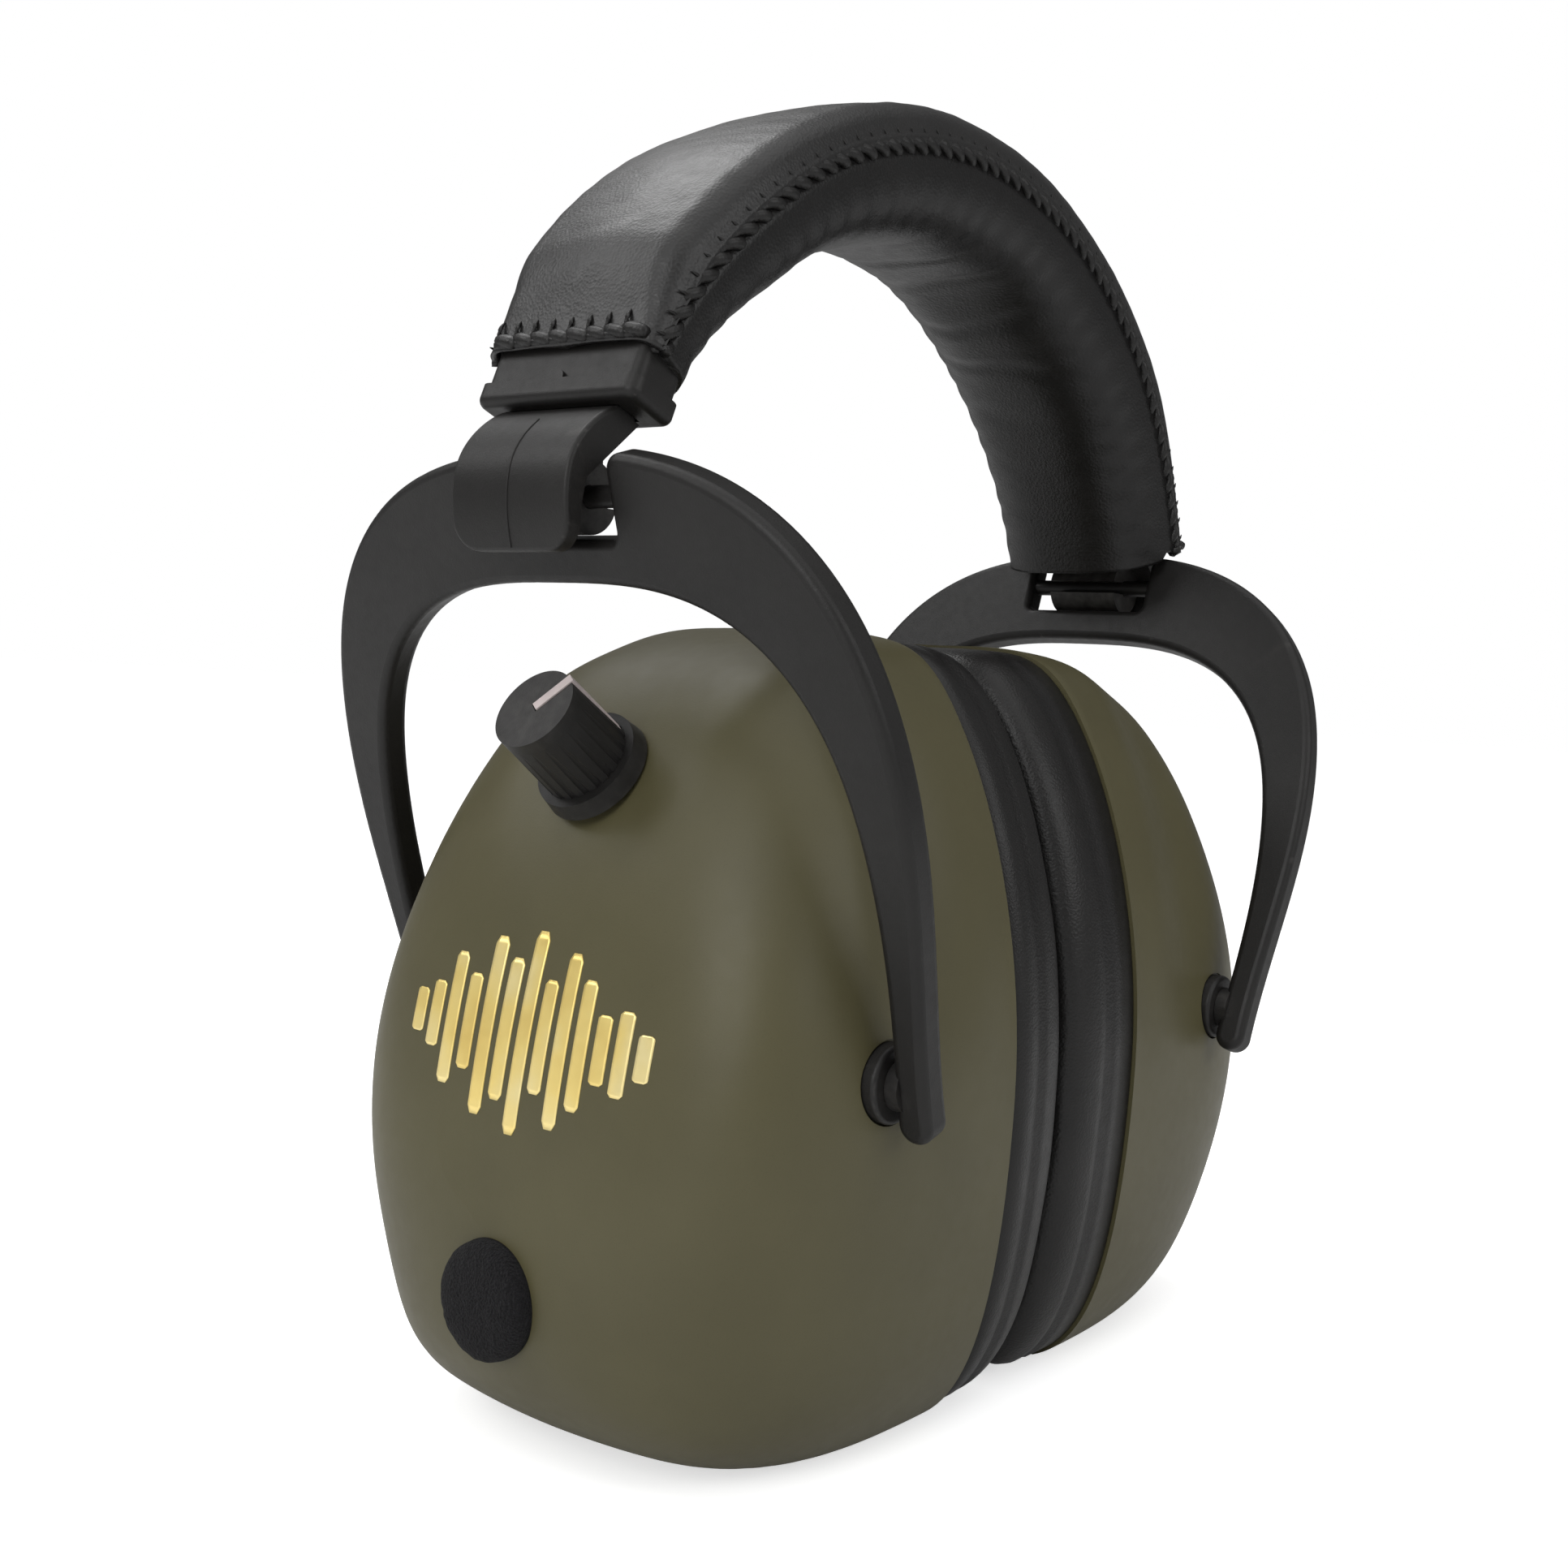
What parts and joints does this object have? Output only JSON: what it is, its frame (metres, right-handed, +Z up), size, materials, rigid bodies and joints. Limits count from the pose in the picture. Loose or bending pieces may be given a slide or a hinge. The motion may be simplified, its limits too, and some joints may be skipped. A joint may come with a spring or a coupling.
{
  "type": "earmuff hearing protector",
  "caption": "Over-ear hearing protector with deep electronic cups, leather cushions, pivoting yokes and a padded adjustable headband.",
  "frame": {"origin": "on the floor, midway between the two cups' flat bases", "axes": "+X from the wearer's left cup to the right cup, +Y towards the back, +Z up through the headband"},
  "size_m": [0.1608, 0.1056, 0.1997],
  "materials": {
    "cup_plastic": "fine satin, moulded",
    "black_plastic": "satin, moulded",
    "leather": "smooth synthetic leather, stitched",
    "foam": "open-cell foam",
    "windscreen_foam": "flocked foam",
    "steel": "plated",
    "spring_steel": "tempered",
    "speaker_case": "moulded",
    "board": "solder mask",
    "battery_can": "printed can",
    "pointer_white": "moulded inlay"
  },
  "bodies": {
    "headband": {"band_spring": "spring_steel", "headband_cover": "leather", "headband_pad": "leather", "slider_housing_left": "black_plastic", "slider_housing_right": "black_plastic"},
    "slider_left": {"slider_left": "black_plastic"},
    "yoke_left": {"yoke_left": "black_plastic"},
    "cup_left": {"cup_shell_left": "cup_plastic", "backplate_left": "black_plastic", "plate_screws_left": "steel", "ear_cushion_left": "leather", "foam_liner_left": "foam", "speaker_left": "speaker_case", "circuit_board_left": "board", "board_screws_left": "steel", "battery_holder_left": "black_plastic", "battery_left": "battery_can", "potentiometer_left": "steel", "pot_nut_left": "steel", "windscreen_left": "windscreen_foam", "microphone_left": "steel", "pivot_bushings_left": "black_plastic"},
    "knob_left": {"knob_left": "black_plastic", "knob_pointer_left": "pointer_white", "pot_shaft_left": "steel"},
    "slider_right": {"slider_right": "black_plastic"},
    "yoke_right": {"yoke_right": "black_plastic"},
    "cup_right": {"cup_shell_right": "cup_plastic", "backplate_right": "black_plastic", "plate_screws_right": "steel", "ear_cushion_right": "leather", "foam_liner_right": "foam", "speaker_right": "speaker_case", "circuit_board_right": "board", "board_screws_right": "steel", "battery_holder_right": "black_plastic", "battery_right": "battery_can", "potentiometer_right": "steel", "pot_nut_right": "steel", "windscreen_right": "windscreen_foam", "microphone_right": "steel", "pivot_bushings_right": "black_plastic"},
    "knob_right": {"knob_right": "black_plastic", "knob_pointer_right": "pointer_white", "pot_shaft_right": "steel"}
  },
  "joints": [
    {"name": "extend_left", "type": "slide", "parent": "headband", "child": "slider_left", "axis": [-0.3584, 0, -0.9336], "range_m": [0, 0.013]},
    {"name": "swing_left", "type": "hinge", "parent": "slider_left", "child": "yoke_left", "pos_m": [-0.07238, 0, 0.1318], "axis": [0, 1, 0], "range_deg": [0, 25]},
    {"name": "tilt_left", "type": "hinge", "parent": "yoke_left", "child": "cup_left", "pos_m": [-0.0484, 0, 0.058], "axis": [0, 1, 0], "range_deg": [-8, 8], "deforming": ["ear_cushion_left"]},
    {"name": "volume_left", "type": "hinge", "parent": "cup_left", "child": "knob_left", "pos_m": [-0.0613, 0, 0.0955], "axis": [-0.829, 0, 0.5592], "range_deg": [-60, 210]},
    {"name": "extend_right", "type": "slide", "parent": "headband", "child": "slider_right", "axis": [0.3584, 0, -0.9336], "range_m": [0, 0.013]},
    {"name": "swing_right", "type": "hinge", "parent": "slider_right", "child": "yoke_right", "pos_m": [0.07238, 0, 0.1318], "axis": [0, -1, 0], "range_deg": [0, 25]},
    {"name": "tilt_right", "type": "hinge", "parent": "yoke_right", "child": "cup_right", "pos_m": [0.0484, 0, 0.058], "axis": [0, -1, 0], "range_deg": [-8, 8], "deforming": ["ear_cushion_right"]},
    {"name": "volume_right", "type": "hinge", "parent": "cup_right", "child": "knob_right", "pos_m": [0.0613, 0, 0.0955], "axis": [0.829, 0, 0.5592], "range_deg": [-60, 210]}
  ]
}
